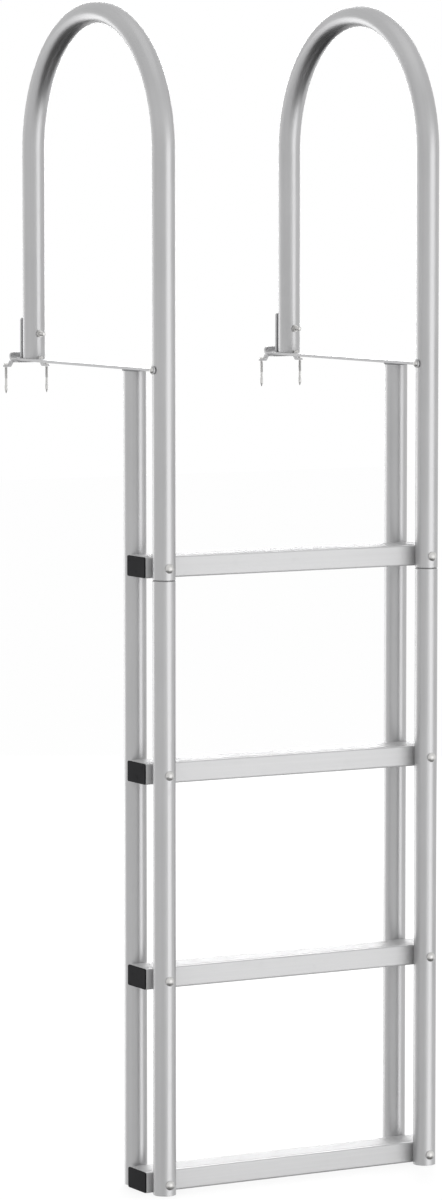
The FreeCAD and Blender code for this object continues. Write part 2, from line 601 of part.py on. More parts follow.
def make_fork_bolt(side, x):
    """The bolt through the strip's eye and the left wall of the front tube."""
    body = new_body(f"fork_bolt_{side}")
    length = f"(Sizes.strip_width / 2 - {INNER_SEAT} + {NUT_LENGTH} + Sizes.thread_end)"
    add_domed_bolt(body, "fork_head_diameter", length)
    put(body, f"{x} - Sizes.strip_width / 2", FRONT_Y, EYE_Z, (0, 1, 0), -90)
    return body


def make_fork_nut(side, x):
    """The nut inside the front tube, with its corners at the left wall."""
    body = new_body(f"fork_nut_{side}")
    add_nut(body)
    put(body, f"{x} - {INNER_SEAT}", FRONT_Y, EYE_Z, (0, 1, 0), 90)
    return body


def make_deck_screws(side, x):
    """Two pointed screws with flanged hexagon heads, down through the cross foot's ears."""
    body = new_body(f"deck_screws_{side}")
    section = new_sketch(body, "screw_section", "XZ_Plane")
    flange, flange_top = "Sizes.screw_flange_diameter / 2", "Sizes.screw_flange_height"
    neck, shank = "Sizes.screw_neck_diameter / 2", "Sizes.screw_diameter / 2"
    deck = "-Sizes.foot_thickness"
    end = f"({deck} - Sizes.screw_reach)"
    point = "Sizes.screw_point_diameter / 2"
    draw_lines(section, [
        ("0", flange_top), ("0", end), (point, end), (shank, f"{end} + Sizes.screw_tip"),
        (shank, deck), (neck, deck), (neck, "0"), (flange, "0"), (flange, flange_top)])
    shaft = add_turned(body, "shaft", "Revolution", section)
    outline = new_sketch(body, "head_outline", "XY_Plane", flange_top)
    draw_hexagon(outline, "screw_head_flats")
    head = add_pad(body, "head", outline, "Sizes.screw_head_height")
    top = f"({flange_top} + Sizes.screw_head_height)"
    corners = add_corner_cut(body, "head_corners", "screw_head_flats", top, upwards=True)
    add_row(body, "pair", [shaft, head, corners], section, "H_Axis", SCREW_SPACING, 2)
    put(body, f"{x} - {SCREW_SPACING} / 2", "0", "Sizes.foot_thickness")
    return body


def make_all():
    """Every piece of the ladder, in the order it is put together."""
    bodies = []
    for side, x in SIDES:
        bodies += [make_handrail(side, x), make_front_post(side, x), make_rear_post(side, x)]
        bodies += [make_deck_strip(side, x), make_leg_tab(side, x), make_cross_foot(side, x)]
        bodies += [make_deck_screws(side, x), make_leg_bolt(side, x), make_leg_nut(side, x)]
        bodies += [make_fork_bolt(side, x), make_fork_nut(side, x)]
    for step in range(1, STEP_COUNT + 1):
        bodies += [make_step(step), make_step_bolts(step), make_step_nuts(step)]
        bodies += [make_step_cap(step, "left", f"{LEFT_X} - Sizes.step_overhang", 180)]
        bodies += [make_step_cap(step, "right", f"{RIGHT_X} + Sizes.step_overhang", 0)]
    return bodies


def check_all(bodies):
    """Stop where an object failed or a piece has no sound solid."""
    for item in doc.Objects:
        if "Invalid" in item.State or "Error" in item.State:
            raise RuntimeError(f"{item.Label} did not recompute: {item.State}")
    for body in bodies:
        if body.Shape.isNull() or not body.Shape.isValid() or not body.Shape.Solids:
            raise RuntimeError(f"{body.Label} has no valid solid")


pieces = make_all()
doc.recompute()
check_all(pieces)
os.makedirs("parts", exist_ok=True)
for piece in pieces:
    piece.Shape.exportStep(f"parts/{piece.Label}.step")
    print(f"{piece.Label}: {len(piece.Shape.Solids)} solid(s), {piece.Shape.Volume / 1000:.1f} cm3")
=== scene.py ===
"""Finishes, fasteners and studio of a fixed dock ladder, in metres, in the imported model's frame."""

import json
import logging
import math
from dataclasses import dataclass, field
from enum import Enum

import bmesh
import bpy
from bpy.types import ID, Material, Mesh, Node, NodeSocket, NodeTree, Object
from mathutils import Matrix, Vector


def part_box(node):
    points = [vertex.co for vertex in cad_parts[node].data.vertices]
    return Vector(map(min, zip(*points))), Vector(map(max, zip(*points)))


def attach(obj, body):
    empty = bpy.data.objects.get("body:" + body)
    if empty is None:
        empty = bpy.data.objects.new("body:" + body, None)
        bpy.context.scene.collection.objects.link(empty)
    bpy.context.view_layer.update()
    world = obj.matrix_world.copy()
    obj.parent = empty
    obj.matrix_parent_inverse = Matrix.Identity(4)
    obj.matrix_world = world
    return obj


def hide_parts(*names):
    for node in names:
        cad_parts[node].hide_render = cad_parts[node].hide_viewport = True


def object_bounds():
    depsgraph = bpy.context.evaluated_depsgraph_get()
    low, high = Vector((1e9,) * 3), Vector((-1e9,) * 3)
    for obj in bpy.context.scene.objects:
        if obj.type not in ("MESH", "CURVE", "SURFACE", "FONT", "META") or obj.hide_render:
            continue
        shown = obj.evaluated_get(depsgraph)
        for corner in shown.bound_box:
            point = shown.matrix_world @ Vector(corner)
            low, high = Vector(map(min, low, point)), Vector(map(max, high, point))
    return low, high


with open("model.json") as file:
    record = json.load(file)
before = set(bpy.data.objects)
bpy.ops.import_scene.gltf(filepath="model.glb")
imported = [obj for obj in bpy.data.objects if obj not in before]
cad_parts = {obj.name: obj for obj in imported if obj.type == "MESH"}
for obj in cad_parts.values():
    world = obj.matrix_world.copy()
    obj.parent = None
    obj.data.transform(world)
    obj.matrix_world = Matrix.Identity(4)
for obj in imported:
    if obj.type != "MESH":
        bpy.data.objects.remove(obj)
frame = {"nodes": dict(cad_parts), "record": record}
CAD_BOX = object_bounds()

LOG = logging.getLogger("dock_ladder")
BODY = "root"
SIDES = ("left", "right")
STEP_NUMBERS = (1, 2, 3, 4)
MM = 0.001
EDGE_SAMPLES = 4
ROUND_SEGMENTS = 40
SHARP_ANGLE = math.radians(35)
ZERO = (0.0, 0.0, 0.0)

FLOAT = "NodeSocketFloat"
WHOLE = "NodeSocketInt"
VECTOR = "NodeSocketVector"
MATERIAL = "NodeSocketMaterial"
GEOMETRY = "NodeSocketGeometry"

Pair = tuple[float, float]
Triple = tuple[float, float, float]
Outline = list[Pair]
Inputs = dict[str | int, object]


class Slot(Enum):
    """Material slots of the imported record."""

    TUBE = "tube_aluminium"
    STEP = "step_aluminium"
    BRACKET = "bracket_aluminium"
    BOLT = "bolt_steel"
    CAP = "cap_plastic"


class Lay(Enum):
    """How a piece was drawn: round the hoop, or the axes that become X, Y and Z of lines along Z."""

    ALONG_HOOP = "hoop"
    ACROSS = "YZX"
    TOWARDS_DOCK = "XZY"


class Tree:
    """Short ways to place and join the nodes of a shader or geometry tree."""

    def __init__(self, tree: NodeTree) -> None:
        """Keep the tree that is filled."""
        self.tree = tree

    def fill(self, node: Node, inputs: Inputs) -> None:
        """Link or set some inputs of a node.

        Args:
            node: The node.
            inputs: For an input's name or number, the socket that feeds it or its plain value.
        """
        for label, value in inputs.items():
            if isinstance(value, NodeSocket):
                self.tree.links.new(value, node.inputs[label])
            else:
                node.inputs[label].default_value = value

    def add(self, kind: str, inputs: Inputs | None = None, **settings: object) -> Node:
        """Add a node, set its properties and then its inputs.

        Args:
            kind: The node's type name.
            inputs: Sockets or values for its inputs.
            settings: Properties of the node.

        Returns:
            The new node.
        """
        node = self.tree.nodes.new(kind)
        for name, value in settings.items():
            setattr(node, name, value)
        self.fill(node, inputs or {})
        return node

    def math(self, operation: str, *values: float | NodeSocket) -> NodeSocket:
        """Add a Math node and return its result."""
        return self.add("ShaderNodeMath", dict(enumerate(values)), operation=operation).outputs[0]

    def spread(self, value: NodeSocket, source: Pair, target: Pair = (0.0, 1.0)) -> NodeSocket:
        """Map a value from one range onto another, clamped.

        Args:
            value: The socket that is mapped.
            source: The range that is read.
            target: The range that it becomes.

        Returns:
            The mapped value.
        """
        node = self.add("ShaderNodeMapRange", {
            "Value": value, "From Min": source[0], "From Max": source[1],
            "To Min": target[0], "To Max": target[1]})
        return node.outputs["Result"]

    def noise(self, place: NodeSocket, scale: float | NodeSocket, detail: float) -> NodeSocket:
        """Add a Noise Texture.

        Args:
            place: The coordinates that it reads.
            scale: How many cells lie in a metre.
            detail: How many finer layers it adds.

        Returns:
            Its value, from 0 to 1.
        """
        node = self.add("ShaderNodeTexNoise", {"Vector": place, "Scale": scale, "Detail": detail})
        return node.outputs["Fac"]

    def two_tone(self, share: NodeSocket, first: Triple, second: Triple) -> NodeSocket:
        """Mix two colours over the surface.

        Args:
            share: How much of the second colour shows.
            first: The first colour.
            second: The second colour.

        Returns:
            The mixed colour.
        """
        inputs = {"Factor": share, "A": (*first, 1.0), "B": (*second, 1.0)}
        return self.add("ShaderNodeMix", inputs, data_type="RGBA").outputs["Result"]

    def relief(self, height: NodeSocket, depth: float, edge_radius: float) -> NodeSocket:
        """Make a normal with a fine relief over edges that look slightly rounded.

        Args:
            height: The relief, from 0 to 1.
            depth: How deep it is.
            edge_radius: How far the edges look rounded.

        Returns:
            The normal.
        """
        edge = self.add("ShaderNodeBevel", {"Radius": edge_radius}, samples=EDGE_SAMPLES)
        bump = self.add("ShaderNodeBump", {
            "Strength": 1.0, "Distance": depth, "Height": height, "Normal": edge.outputs["Normal"]})
        return bump.outputs["Normal"]


class Group(Tree):
    """A node group with named inputs and outputs."""

    def __init__(self, name: str, kind: str, inputs: dict[str, tuple[str, object]],
                 outputs: dict[str, str]) -> None:
        """Make the group and its sockets.

        Args:
            name: The group's name.
            kind: The tree's type name.
            inputs: For each input its socket type and its default, or None.
            outputs: For each output its socket type.
        """
        super().__init__(bpy.data.node_groups.new(name, kind))
        for label, (socket_type, default) in inputs.items():
            socket = self.tree.interface.new_socket(label, in_out="INPUT", socket_type=socket_type)
            if default is not None:
                socket.default_value = default
        for label, socket_type in outputs.items():
            self.tree.interface.new_socket(label, in_out="OUTPUT", socket_type=socket_type)
        self.entry = self.add("NodeGroupInput")
        self.exit = self.add("NodeGroupOutput")

    def take(self, label: str) -> NodeSocket:
        """Return what comes in through a named input."""
        return self.entry.outputs[label]

    def give(self, outputs: dict[str, NodeSocket]) -> NodeTree:
        """Send sockets out by their names and return the finished tree."""
        self.fill(self.exit, outputs)
        return self.tree


@dataclass
class Effects:
    """Shader groups that several finishes share; a noise is its cells in a metre and its detail."""

    line_noise: Pair = (1800.0, 3.0)
    streak_noise: Pair = (220.0, 2.0)
    speckle_noise: Pair = (2600.0, 2.0)
    smudge_detail: float = 3.0
    smudge_range: Pair = (0.3, 0.7)
    scuff_detail: float = 4.0
    scuff_range: Pair = (0.63, 0.72)
    hoop_lines: NodeTree = field(init=False)
    drawn_metal: NodeTree = field(init=False)
    handled: NodeTree = field(init=False)

    def __post_init__(self) -> None:
        """Build every group once."""
        self.hoop_lines = self._hoop_lines()
        self.drawn_metal = self._drawn_metal()
        self.handled = self._handled()

    @staticmethod
    def _hoop_lines() -> NodeTree:
        """Make a group that straightens a handrail's bent tube.

        Returns:
            A group whose Z runs along the tube and whose Y is the distance from the arch's axis.
        """
        group = Group("hoop_lines", "ShaderNodeTree", {
            "Position": (VECTOR, None), "Arch Centre": (FLOAT, 0.0), "Arch Start": (FLOAT, 10.0)},
            {"Straightened": VECTOR})
        place = group.add("ShaderNodeSeparateXYZ", {0: group.take("Position")}).outputs
        across = group.math("SUBTRACT", place["Y"], group.take("Arch Centre"))
        above = group.math("SUBTRACT", place["Z"], group.take("Arch Start"))
        rise = group.math("MAXIMUM", above, 0.0)
        radius = group.math("SQRT", group.math("ADD", group.math("MULTIPLY", across, across),
                                               group.math("MULTIPLY", rise, rise)))
        angle = group.math("ARCTAN2", rise, group.math("ABSOLUTE", across))
        bent = group.math("MULTIPLY", angle, radius)
        along = group.math("ADD", group.math("MINIMUM", above, 0.0), bent)
        merged = group.add("ShaderNodeCombineXYZ", {"X": place["X"], "Y": radius, "Z": along})
        return group.give({"Straightened": merged.outputs[0]})

    def _drawn_metal(self) -> NodeTree:
        """Make a group of die lines and broader streaks that run along Z.

        Returns:
            The group.
        """
        group = Group("drawn_metal", "ShaderNodeTree", {
            "Position": (VECTOR, None), "Fineness": (FLOAT, 1.0), "Length": (FLOAT, 0.01)},
            {"Lines": FLOAT, "Streaks": FLOAT})
        fineness, length = group.take("Fineness"), group.take("Length")
        stretch = group.add("ShaderNodeCombineXYZ", {"X": fineness, "Y": fineness, "Z": length})
        scaled = group.add("ShaderNodeVectorMath", {0: group.take("Position"), 1: stretch.outputs[0]},
                           operation="MULTIPLY").outputs[0]
        return group.give({"Lines": group.noise(scaled, *self.line_noise),
                           "Streaks": group.noise(scaled, *self.streak_noise)})

    def _handled(self) -> NodeTree:
        """Make a group of soft smudges, fine speckle and a few scuffs left by handling.

        Returns:
            The group.
        """
        group = Group("handled", "ShaderNodeTree", {
            "Position": (VECTOR, None), "Smudge Size": (FLOAT, 9.0), "Scuff Size": (FLOAT, 60.0)},
            {"Smudges": FLOAT, "Speckle": FLOAT, "Scuffs": FLOAT})
        place = group.take("Position")
        smudges = group.noise(place, group.take("Smudge Size"), self.smudge_detail)
        scuffs = group.noise(place, group.take("Scuff Size"), self.scuff_detail)
        return group.give({"Smudges": group.spread(smudges, self.smudge_range),
                           "Speckle": group.noise(place, *self.speckle_noise),
                           "Scuffs": group.spread(scuffs, self.scuff_range)})


def grey(tone: float) -> tuple[float, float, float, float]:
    """Return a plain grey, from 0, black, to 1, white."""
    return (tone, tone, tone, 1.0)


def new_material(name: str) -> tuple[Material, Tree, Node]:
    """Make a material with nodes.

    Args:
        name: The material's name.

    Returns:
        The material, its tree and its Principled BSDF.
    """
    material = bpy.data.materials.new(name)
    material.use_nodes = True
    return material, Tree(material.node_tree), material.node_tree.nodes["Principled BSDF"]


@dataclass(frozen=True)
class MetalFinish:
    """Satin aluminium or steel with die lines, smudges and rounded-looking edges.

    Two fields named streaks give the die streaks' share in what changes; the rest is smudges.
    """

    name: str
    colour: Triple
    roughness: float
    lay: Lay
    arch_centre: float = 0.0
    arch_start: float = 10.0
    metallic: float = 0.8
    mottle_range: Pair = (0.2, 0.8)
    colour_change: float = 0.07
    colour_streaks: float = 0.6
    roughness_change: float = 0.10
    roughness_streaks: float = 0.5
    scuff_roughness: float = 0.04
    line_depth: float = 0.028 * MM
    edge_radius: float = 0.6 * MM
    fineness: float = 1.0

    def build(self, effects: Effects) -> Material:
        """Make the material.

        Args:
            effects: The shared shader groups.

        Returns:
            The finished material.
        """
        material, tree, shader = new_material(self.name)
        place = tree.add("ShaderNodeTexCoord").outputs["Object"]
        laid = self._laid(tree, effects, place)
        lines = tree.add("ShaderNodeGroup", {"Position": laid, "Fineness": self.fineness},
                         node_tree=effects.drawn_metal)
        marks = tree.add("ShaderNodeGroup", {"Position": place}, node_tree=effects.handled)
        tone = self._mottle(tree, lines, marks, self.colour_streaks, (0.0, 1.0))
        dark, light = (tuple(channel * (1.0 + change) for channel in self.colour)
                       for change in (-self.colour_change, self.colour_change))
        half = self.roughness_change / 2
        rough = self._mottle(tree, lines, marks, self.roughness_streaks,
                             (self.roughness - half, self.roughness + half))
        scuffs = tree.math("MULTIPLY", marks.outputs["Scuffs"], self.scuff_roughness)
        tree.fill(shader, {
            "Metallic": self.metallic,
            "Base Color": tree.two_tone(tone, dark, light),
            "Roughness": tree.math("ADD", rough, scuffs),
            "Normal": tree.relief(lines.outputs["Lines"], self.line_depth, self.edge_radius)})
        return material

    def _laid(self, tree: Tree, effects: Effects, place: NodeSocket) -> NodeSocket:
        """Turn coordinates so that Z runs the way the metal was drawn.

        Args:
            tree: The material's tree.
            effects: The shared shader groups.
            place: The Object coordinates.

        Returns:
            The turned coordinates.
        """
        if self.lay is Lay.ALONG_HOOP:
            group = tree.add("ShaderNodeGroup", {
                "Position": place, "Arch Centre": self.arch_centre, "Arch Start": self.arch_start},
                node_tree=effects.hoop_lines)
            return group.outputs["Straightened"]
        split = tree.add("ShaderNodeSeparateXYZ", {0: place}).outputs
        turned = {axis: split[read] for axis, read in zip("XYZ", self.lay.value)}
        return tree.add("ShaderNodeCombineXYZ", turned).outputs[0]

    def _mottle(self, tree: Tree, lines: Node, marks: Node, streaks: float, target: Pair) -> NodeSocket:
        """Mix die streaks with smudges, and spread them over a range.

        Args:
            tree: The material's tree.
            lines: The drawn metal group.
            marks: The handling group.
            streaks: The streaks' share; the rest is smudges.
            target: The range that the mix fills.

        Returns:
            The mixed value.
        """
        mixed = tree.math("ADD", tree.math("MULTIPLY", lines.outputs["Streaks"], streaks),
                          tree.math("MULTIPLY", marks.outputs["Smudges"], 1.0 - streaks))
        return tree.spread(mixed, self.mottle_range, target)


@dataclass(frozen=True)
class MouldedFinish:
    """Black moulded plastic with a fine spark-eroded grain."""

    name: str
    colour: Triple
    roughness: float
    specular: float = 0.05
    paler: float = 1.35
    rougher: Pair = (-0.06, 0.08)
    scuff_roughness: float = 0.12
    grain_depth: float = 0.03 * MM
    edge_radius: float = 0.5 * MM

    def build(self, effects: Effects) -> Material:
        """Make the material.

        Args:
            effects: The shared shader groups.

        Returns:
            The finished material.
        """
        material, tree, shader = new_material(self.name)
        place = tree.add("ShaderNodeTexCoord").outputs["Object"]
        marks = tree.add("ShaderNodeGroup", {"Position": place}, node_tree=effects.handled).outputs
        pale = tuple(channel * self.paler for channel in self.colour)
        smooth, rough = (self.roughness + change for change in self.rougher)
        uneven = tree.spread(marks["Smudges"], (0.0, 1.0), (smooth, rough))
        scuffs = tree.math("MULTIPLY", marks["Scuffs"], self.scuff_roughness)
        tree.fill(shader, {
            "Specular IOR Level": self.specular,
            "Base Color": tree.two_tone(marks["Smudges"], self.colour, pale),
            "Roughness": tree.math("ADD", uneven, scuffs),
            "Normal": tree.relief(marks["Speckle"], self.grain_depth, self.edge_radius)})
        return material


@dataclass
class Finishes:
    """Every finish of the ladder, built once: one for each slot, and one for the weld beads."""

    effects: Effects
    of_slot: dict[Slot, Material] = field(init=False)
    weld: Material = field(init=False)

    def __post_init__(self) -> None:
        """Build the materials; the tube's lines follow the arch of the handrails."""
        low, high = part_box("handrail_left")
        finishes = {
            Slot.TUBE: MetalFinish(
                "satin_tube", colour=(0.44, 0.44, 0.444), roughness=0.38, lay=Lay.ALONG_HOOP,
                metallic=0.95, arch_centre=(high.y + low.y) / 2,
                arch_start=high.z - (high.y - low.y) / 2),
            Slot.STEP: MetalFinish(
                "satin_step", colour=(0.505, 0.505, 0.509), roughness=0.50, lay=Lay.ACROSS, metallic=0.5),
            Slot.BRACKET: MetalFinish(
                "satin_bracket", colour=(0.42, 0.42, 0.425), roughness=0.48, lay=Lay.TOWARDS_DOCK,
                metallic=0.4),
            Slot.BOLT: MetalFinish(
                "polished_bolt", colour=(0.56, 0.555, 0.545), roughness=0.40, lay=Lay.TOWARDS_DOCK,
                metallic=0.85, edge_radius=0.3 * MM, line_depth=0.006 * MM, fineness=2.0),
            Slot.CAP: MouldedFinish("moulded_cap", colour=(0.009, 0.009, 0.010), roughness=0.55)}
        self.of_slot = {slot: finish.build(self.effects) for slot, finish in finishes.items()}
        self.weld = MetalFinish(
            "weld_bead", colour=(0.36, 0.36, 0.37), roughness=0.50, lay=Lay.TOWARDS_DOCK,
            colour_change=0.12, edge_radius=0.2 * MM, fineness=0.5).build(self.effects)


def show(name: str, data: ID) -> Object:
    """Put a mesh, lamp or camera into the scene.

    Args:
        name: The object's name.
        data: What it shows.

    Returns:
        The object, at the origin.
    """
    shown = bpy.data.objects.new(name, data)
    bpy.context.scene.collection.objects.link(shown)
    return shown


def lathe(name: str, *shells: tuple[Outline, int], start: float = 0.0) -> Mesh:
    """Turn outlines about Z into closed shells.

    Args:
        name: The mesh's name.
        shells: For each shell the radius and height of its points, up to one on the axis, and how many
            faces lie round it. An outline that starts off the axis gets a flat face there.
        start: Angle round Z of the first corners, in radians.

    Returns:
        The mesh.
    """
    shape = bmesh.new()
    for outline, segments in shells:
        rings = []
        for radius, height in outline:
            turns = [start + math.tau * index / segments for index in range(segments if radius else 1)]
            places = [(radius * math.cos(turn), radius * math.sin(turn), height) for turn in turns]
            rings.append([shape.verts.new(place) for place in places])
        faces = [shape.faces.new(rings[0][::-1])] if len(rings[0]) > 1 else []
        for lower, upper in zip(rings, rings[1:]):
            for index in range(segments):
                following = (index + 1) % segments
                corners = [lower[index % len(lower)], lower[following % len(lower)],
                           upper[following % len(upper)], upper[index % len(upper)]]
                faces.append(shape.faces.new(list(dict.fromkeys(corners))))
        bmesh.ops.recalc_face_normals(shape, faces=faces)
    mesh = bpy.data.meshes.new(name)
    shape.to_mesh(mesh)
    shape.free()
    return mesh


def smooth_by_angle(mesh: Mesh, limit: float) -> None:
    """Shade a mesh smooth, with sharp edges where its faces meet at more than an angle.

    Args:
        mesh: The mesh.
        limit: The angle in radians.
    """
    shape = bmesh.new()
    shape.from_mesh(mesh)
    for face in shape.faces:
        face.smooth = True
    for edge in shape.edges:
        if len(edge.link_faces) == 2:
            edge.smooth = edge.calc_face_angle(0.0) < limit
    shape.to_mesh(mesh)
    shape.free()


def run_tree(name: str, start: Mesh, tree: NodeTree, values: dict[str, object]) -> Object:
    """Run a geometry tree on a mesh and keep the result as a plain mesh object.

    Args:
        name: The new object's name.
        start: The mesh that the tree reads.
        tree: The geometry tree.
        values: A value for each named input.

    Returns:
        The object with the plain mesh, at the origin.
    """
    holder = show(name + "_maker", start)
    modifier = holder.modifiers.new("maker", "NODES")
    modifier.node_group = tree
    sockets = {item.name: item.identifier for item in tree.interface.items_tree if item.in_out == "INPUT"}
    for label, value in values.items():
        modifier[sockets[label]] = value
    graph = bpy.context.evaluated_depsgraph_get()
    mesh = bpy.data.meshes.new_from_object(holder.evaluated_get(graph), depsgraph=graph)
    holder.modifiers.remove(modifier)
    bpy.data.objects.remove(holder)
    mesh.name = name
    return show(name, mesh)


def keep_piece(piece: Object, slot: Slot, replaced: tuple[str, ...] = (),
               sharp: float = SHARP_ANGLE) -> None:
    """Shade a finished piece and fix it to the ladder's body.

    Args:
        piece: The piece, with its place in its mesh.
        slot: The record's slot that the log names for the piece; its finish comes with the piece.
        replaced: CAD nodes that it stands for.
        sharp: The angle in radians from which its edges stay sharp.
    """
    smooth_by_angle(piece.data, sharp)
    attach(piece, BODY)
    if replaced:
        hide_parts(*replaced)
    LOG.info("%s: %d faces, slot %s, replaces %s", piece.name, len(piece.data.polygons), slot.value,
             replaced or "nothing")


@dataclass
class Makers:
    """Geometry trees that repeat or wind the ladder's small parts."""

    turn_points: int = 28
    ridge_corners: int = 4
    ridge_share: float = 0.46
    ring_points: int = 96
    ripple_sizes: Pair = (0.88, 1.06)
    seed: int = 7
    threaded_row: NodeTree = field(init=False)
    bead_ring: NodeTree = field(init=False)
    bead_line: NodeTree = field(init=False)
    plain_row: NodeTree = field(init=False)

    def __post_init__(self) -> None:
        """Build every tree once."""
        self.threaded_row = self._threaded_row()
        self.bead_ring = self._bead_ring()
        self.bead_line = self._bead_line()
        self.plain_row = self._plain_row()

    @staticmethod
    def _group(name: str, inputs: dict[str, tuple[str, object]], row: bool = False) -> Group:
        """Start a tree that repeats its own Geometry in its Finish.

        Args:
            name: The tree's name.
            inputs: Its other inputs.
            row: Whether it also has the inputs that a row needs.

        Returns:
            The group.
        """
        both = {"Geometry": (GEOMETRY, None), "Finish": (MATERIAL, None), **inputs}
        if row:
            both |= {"Count": (WHOLE, 1), "Step": (VECTOR, ZERO), "Turn": (VECTOR, ZERO),
                     "Place": (VECTOR, ZERO)}
        return Group(name, "GeometryNodeTree", both, {"Geometry": GEOMETRY})

    @staticmethod
    def _finish(group: Group, copies: Node) -> NodeTree:
        """End a tree with real geometry and its material.

        Args:
            group: The tree.
            copies: The node that makes the instances.

        Returns:
            The finished tree.
        """
        real = group.add("GeometryNodeRealizeInstances", {"Geometry": copies.outputs["Instances"]})
        painted = group.add("GeometryNodeSetMaterial", {
            "Geometry": real.outputs["Geometry"], "Material": group.take("Finish")})
        return group.give({"Geometry": painted.outputs["Geometry"]})

    def _set_in_row(self, group: Group, shape: NodeSocket) -> NodeTree:
        """Turn a shape, put copies of it in a row and end the tree.

        Args:
            group: The tree, with a row's inputs.
            shape: The geometry that is repeated.

        Returns:
            The finished tree.
        """
        row = group.add("GeometryNodeMeshLine", {
            "Count": group.take("Count"), "Start Location": group.take("Place"),
            "Offset": group.take("Step")}, mode="OFFSET")
        turned = group.add("FunctionNodeEulerToRotation", {"Euler": group.take("Turn")})
        copies = group.add("GeometryNodeInstanceOnPoints", {
            "Points": row.outputs["Mesh"], "Instance": shape, "Rotation": turned.outputs["Rotation"]})
        return self._finish(group, copies)

    def _ripples(self, group: Group, path: NodeSocket) -> NodeTree:
        """Put copies at even steps of a path, each a little uneven, and end the tree.

        Args:
            group: The tree, whose own Geometry is one ripple.
            path: The curve that the weld follows.

        Returns:
            The finished tree.
        """
        points = group.add("GeometryNodeCurveToPoints", {"Curve": path, "Count": group.take("Ripples")},
                           mode="COUNT")
        # Inputs 2 and 3 and output 1 are this node's sockets for plain numbers.
        smallest, largest = self.ripple_sizes
        size = group.add("FunctionNodeRandomValue", {2: smallest, 3: largest, "Seed": self.seed},
                         data_type="FLOAT")
        copies = group.add("GeometryNodeInstanceOnPoints", {
            "Points": points.outputs["Points"], "Instance": group.take("Geometry"),
            "Rotation": points.outputs["Rotation"], "Scale": size.outputs[1]})
        return self._finish(group, copies)

    def _threaded_row(self) -> NodeTree:
        """Make a tree that winds a thread onto a turned blank and sets a row of them in place.

        Returns:
            The tree.
        """
        group = self._group("threaded_row", {
            "Root Radius": (FLOAT, 2.4 * MM), "Depth": (FLOAT, 0.6 * MM), "Pitch": (FLOAT, 1.0 * MM),
            "Thread Start": (FLOAT, 0.0), "Thread Length": (FLOAT, 10.0 * MM)}, row=True)
        root, pitch, length = (group.take(label) for label in ("Root Radius", "Pitch", "Thread Length"))
        spiral = group.add("GeometryNodeCurveSpiral", {
            "Resolution": self.turn_points, "Rotations": group.math("DIVIDE", length, pitch),
            "Start Radius": root, "End Radius": root, "Height": length})
        upright = group.add("GeometryNodeSetCurveNormal", {"Curve": spiral.outputs["Curve"]}, mode="Z_UP")
        profile = group.add("GeometryNodeCurvePrimitiveCircle", {
            "Resolution": self.ridge_corners, "Radius": 1.0}, mode="RADIUS")
        squeeze = group.add("ShaderNodeCombineXYZ", {
            "X": group.take("Depth"), "Y": group.math("MULTIPLY", pitch, self.ridge_share), "Z": 1.0})
        diamond = group.add("GeometryNodeTransform", {
            "Geometry": profile.outputs["Curve"], "Scale": squeeze.outputs[0]})
        ridge = group.add("GeometryNodeCurveToMesh", {
            "Curve": upright.outputs["Curve"], "Profile Curve": diamond.outputs["Geometry"],
            "Fill Caps": True})
        lift = group.add("ShaderNodeCombineXYZ", {"Z": group.take("Thread Start")})
        lifted = group.add("GeometryNodeTransform", {
            "Geometry": ridge.outputs["Mesh"], "Translation": lift.outputs[0]})
        # The joined shape takes two links into one input: the blank, then its thread.
        whole = group.add("GeometryNodeJoinGeometry", {"Geometry": group.take("Geometry")})
        group.fill(whole, {"Geometry": lifted.outputs["Geometry"]})
        return self._set_in_row(group, whole.outputs["Geometry"])

    def _plain_row(self) -> NodeTree:
        """Make a tree that sets a row of turned pieces in place."""
        group = self._group("plain_row", {}, row=True)
        return self._set_in_row(group, group.take("Geometry"))

    def _bead_ring(self) -> NodeTree:
        """Make a tree that lays overlapping weld ripples round a circle.

        Returns:
            The tree.
        """
        group = self._group("bead_ring", {
            "Radius": (FLOAT, 17.0 * MM), "Ripples": (WHOLE, 60), "Place": (VECTOR, ZERO)})
        circle = group.add("GeometryNodeCurvePrimitiveCircle", {
            "Resolution": self.ring_points, "Radius": group.take("Radius")}, mode="RADIUS")
        moved = group.add("GeometryNodeTransform", {
            "Geometry": circle.outputs["Curve"], "Translation": group.take("Place")})
        return self._ripples(group, moved.outputs["Geometry"])

    def _bead_line(self) -> NodeTree:
        """Make a tree that lays overlapping weld ripples from one point to another.

        Returns:
            The tree.
        """
        group = self._group("bead_line", {
            "From": (VECTOR, ZERO), "To": (VECTOR, ZERO), "Ripples": (WHOLE, 20)})
        line = group.add("GeometryNodeCurvePrimitiveLine", {
            "Start": group.take("From"), "End": group.take("To")}, mode="POINTS")
        return self._ripples(group, line.outputs["Curve"])


@dataclass
class Ladder:
    """The CAD nodes, each in the finish of its slot in the record."""

    finishes: Finishes

    @staticmethod
    def dress(node: str, material: Material) -> None:
        """Give a CAD node a finish through its material slots.

        Args:
            node: The node's name.
            material: The finish.
        """
        target = frame["nodes"][node]
        if not target.material_slots:
            target.data.materials.append(material)
        for slot in target.material_slots:
            slot.material = material

    def build(self) -> None:
        """Dress the tubes, steps, brackets, fasteners and caps."""
        for part in frame["record"]["subparts"]:
            self.dress(part["node"], self.finishes.of_slot[Slot(part["material_slot"])])
        LOG.info("dressed %d CAD nodes", len(frame["nodes"]))


@dataclass(frozen=True)
class BoltRow:
    """One bolt, or a row of bolts along X, that stands for a CAD node.

    The axis is where the heads point, and the seat is the middle of the first head's underside.
    """

    name: str
    node: str
    axis: Triple
    seat: Vector
    head_radius: float
    length: float
    count: int = 1
    spacing: float = 0.0


